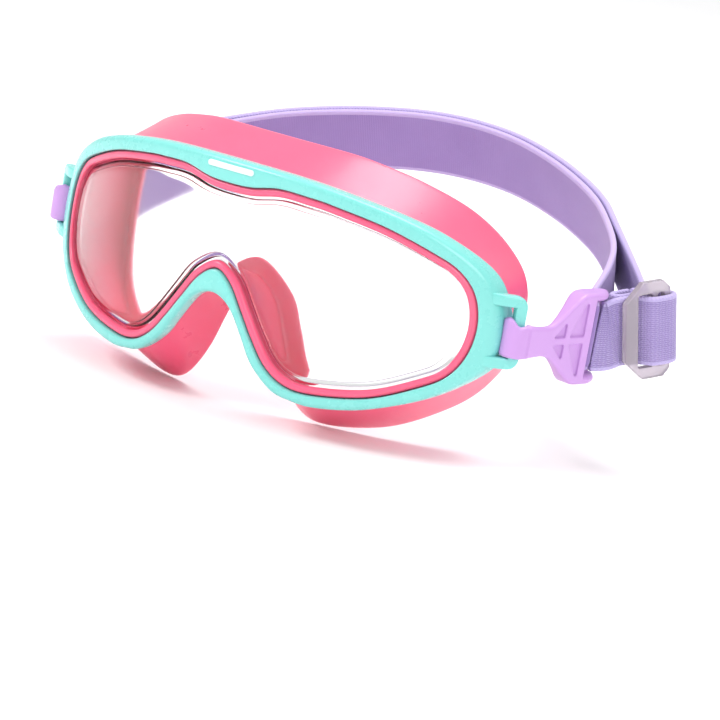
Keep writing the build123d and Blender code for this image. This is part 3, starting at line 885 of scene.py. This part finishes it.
def hook_solids():
    """The plate, its two cheeks, the sleeve and the rear bar, as closed solids."""
    solids = []
    plate = []
    for u in np.linspace(1.0, 26.5, 60):
        half = read_at(hook_edge, u)
        plate.append([on_hook(u, z, n) for z, n in eased(-half, half, 2.05, 4.45, 0.75)])
    solids.append(solid(plate))
    for flip in (1, -1):
        cheek = []
        for u in np.linspace(8, 34.8, 64):
            half = read_at(hook_edge, u)
            low, high = read_at(wall_low, u), read_at(wall_face, u)
            cut = min(0.7, (high - low) / 3)
            cheek.append([
                on_hook(u, flip * z, n) for z, n in eased(half - 2.3, half, low, high, cut)])
        solids.append(solid(cheek))
    sleeve = []
    for angle in np.linspace(-40, 222, 80):
        top = read_at(sleeve_top, angle)
        a = math.radians(angle)
        wall = eased(-4.8, top, 2.05, 3.9, 0.5)
        sleeve.append([on_hook(-r * math.sin(a), z, r * math.cos(a)) for z, r in wall])
    solids.append(solid(sleeve))
    bar = []
    for z in (-12.0, 12.0):
        bar.append([
            on_hook(32.5 + 1.2 * math.cos(a), z, -0.8 + 1.2 * math.sin(a))
            for a in np.linspace(0, 2 * math.pi, 24, endpoint=False)])
    solids.append(solid(bar))
    return solids


def pocket_solids():
    """The four pockets in the plate's outer face, as closed solids."""
    solids = []
    for pocket in (small_pocket, large_pocket):
        for flip in (1, -1):
            rings = [[on_hook(u, flip * z, n) for u, z in pocket] for n in (3.45, 6.0)]
            solids.append(solid(rings))
    return solids


def joined(solids, mirror):
    """Several solids as one list of verts and faces, mirrored if asked."""
    verts, faces = [], []
    for some_verts, some_faces in solids:
        start = len(verts)
        verts += [v * mirror for v in some_verts]
        faces += [tuple(start + k for k in face) for face in some_faces]
    return verts, faces


def moulded_mesh(obj, cell, passes, cutter=None):
    """One skin round the piece's solids, less the cutter, with softened edges."""
    if cutter:
        skin = obj.modifiers.new("skin", "REMESH")
        skin.mode = "VOXEL"
        skin.voxel_size = cell
        cut = obj.modifiers.new("pockets", "BOOLEAN")
        cut.object = cutter
        cut.operation = "DIFFERENCE"
    fine = obj.modifiers.new("fine", "REMESH")
    fine.mode = "VOXEL"
    fine.voxel_size = cell
    fine.use_smooth_shade = True
    soft = obj.modifiers.new("soft", "SMOOTH")
    soft.factor = 0.5
    soft.iterations = passes


for side, label in ((1, "right"), (-1, "left")):
    mirror = np.array([side, 1, 1])
    hook = piece("strap_hook_" + label, *joined(hook_solids(), mirror), hook_lilac)
    cutter = piece("pockets_" + label, *joined(pocket_solids(), mirror), hook_lilac)
    moulded_mesh(hook, hook_cell, soften_passes, cutter)
    bpy.context.view_layer.update()
    made = hook.evaluated_get(bpy.context.evaluated_depsgraph_get())
    skin = bpy.data.meshes.new_from_object(made)
    hook.modifiers.clear()
    hook.data = skin
    bpy.data.objects.remove(cutter)
    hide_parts("hook_" + label)
    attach(hook, "hook_" + label)

# ---- Slider: the model's own shape, with softened moulded edges ----------------------------
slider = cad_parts["slider"]
slider.data.materials.clear()
slider.data.materials.append(slider_clear)
moulded_mesh(slider, slider_cell, soften_passes)

# ---- Floor, light and camera ----------------------------------------------------------------
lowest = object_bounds()[0][2]
paper = bpy.data.meshes.new("paper")
floor_drop = lowest - 0.0005
rows = [(-6.0, floor_drop), (1.6, floor_drop)]
rows += [(1.6 + 1.4 * math.sin(a), floor_drop + 1.4 * (1 - math.cos(a)))
         for a in np.linspace(0.1, math.pi / 2, 16)]
rows += [(3.0, floor_drop + 7.0)]
paper.from_pydata(
    [(side * 9.0, y, z) for y, z in rows for side in (-1, 1)], [],
    [(2 * i, 2 * i + 1, 2 * i + 3, 2 * i + 2) for i in range(len(rows) - 1)])
paper.polygons.foreach_set("use_smooth", [True] * len(paper.polygons))
backdrop = bpy.data.objects.new("backdrop", paper)
bpy.context.collection.objects.link(backdrop)
backdrop.rotation_euler = (0, 0, math.radians(30))
paper_white, tree, shader = shader_of("paper_white")
speck = node(tree, "ShaderNodeTexNoise", Scale=12.0, Detail=2.0)
tint = node(tree, "ShaderNodeMix")
tint.data_type = "RGBA"
tint.inputs[6].default_value = srgb(252, 252, 252)
tint.inputs[7].default_value = srgb(249, 249, 250)
tree.links.new(speck.outputs["Fac"], tint.inputs[0])
tree.links.new(tint.outputs[2], shader.inputs["Base Color"])
shader.inputs["Roughness"].default_value = 0.9
paper.materials.append(paper_white)

world = bpy.data.worlds.new("studio")
bpy.context.scene.world = world
world.use_nodes = True
world.node_tree.nodes["Background"].inputs["Color"].default_value = (1, 1, 1, 1)
world.node_tree.nodes["Background"].inputs["Strength"].default_value = 0.75


def softbox(name, place, target, size, power):
    """A soft rectangular light aimed at a point."""
    data = bpy.data.lights.new(name, "AREA")
    data.shape = "RECTANGLE"
    data.size, data.size_y = size
    data.energy = power
    lamp = bpy.data.objects.new(name, data)
    bpy.context.collection.objects.link(lamp)
    lamp.location = place
    aim = Vector(target) - Vector(place)
    lamp.rotation_euler = aim.to_track_quat("-Z", "Y").to_euler()


softbox("key_softbox", (-0.55, -0.75, 0.85), (0, 0, 0), (0.5, 0.35), 9.0)
softbox("fill_softbox", (1.1, -0.4, 0.45), (0.05, 0, 0), (0.6, 0.6), 5.0)
softbox("top_softbox", (0.1, 0.3, 1.1), (0, 0.03, 0), (0.7, 0.5), 8.0)

lens_data = bpy.data.cameras.new("studio_camera")
lens_data.lens = 178.4
lens_data.sensor_width = 36.0
lens_data.clip_start = 0.05
camera = bpy.data.objects.new("studio_camera", lens_data)
bpy.context.collection.objects.link(camera)
back_axis = Vector((0.4906, -0.8427, 0.2219)).normalized()
up_axis = Vector((-0.2609, 0.1009, 0.9601))
right_axis = up_axis.cross(back_axis).normalized()
up_axis = back_axis.cross(right_axis)
camera.matrix_world = Matrix.Translation((0.5163, -0.8241, 0.1994)) @ Matrix(
    (right_axis, up_axis, back_axis)).transposed().to_4x4()
bpy.context.scene.camera = camera
bpy.context.scene.view_settings.view_transform = "Standard"


def plain(box):
    """A box's corners as plain lists of numbers."""
    return [[float(c) for c in corner] for corner in box]
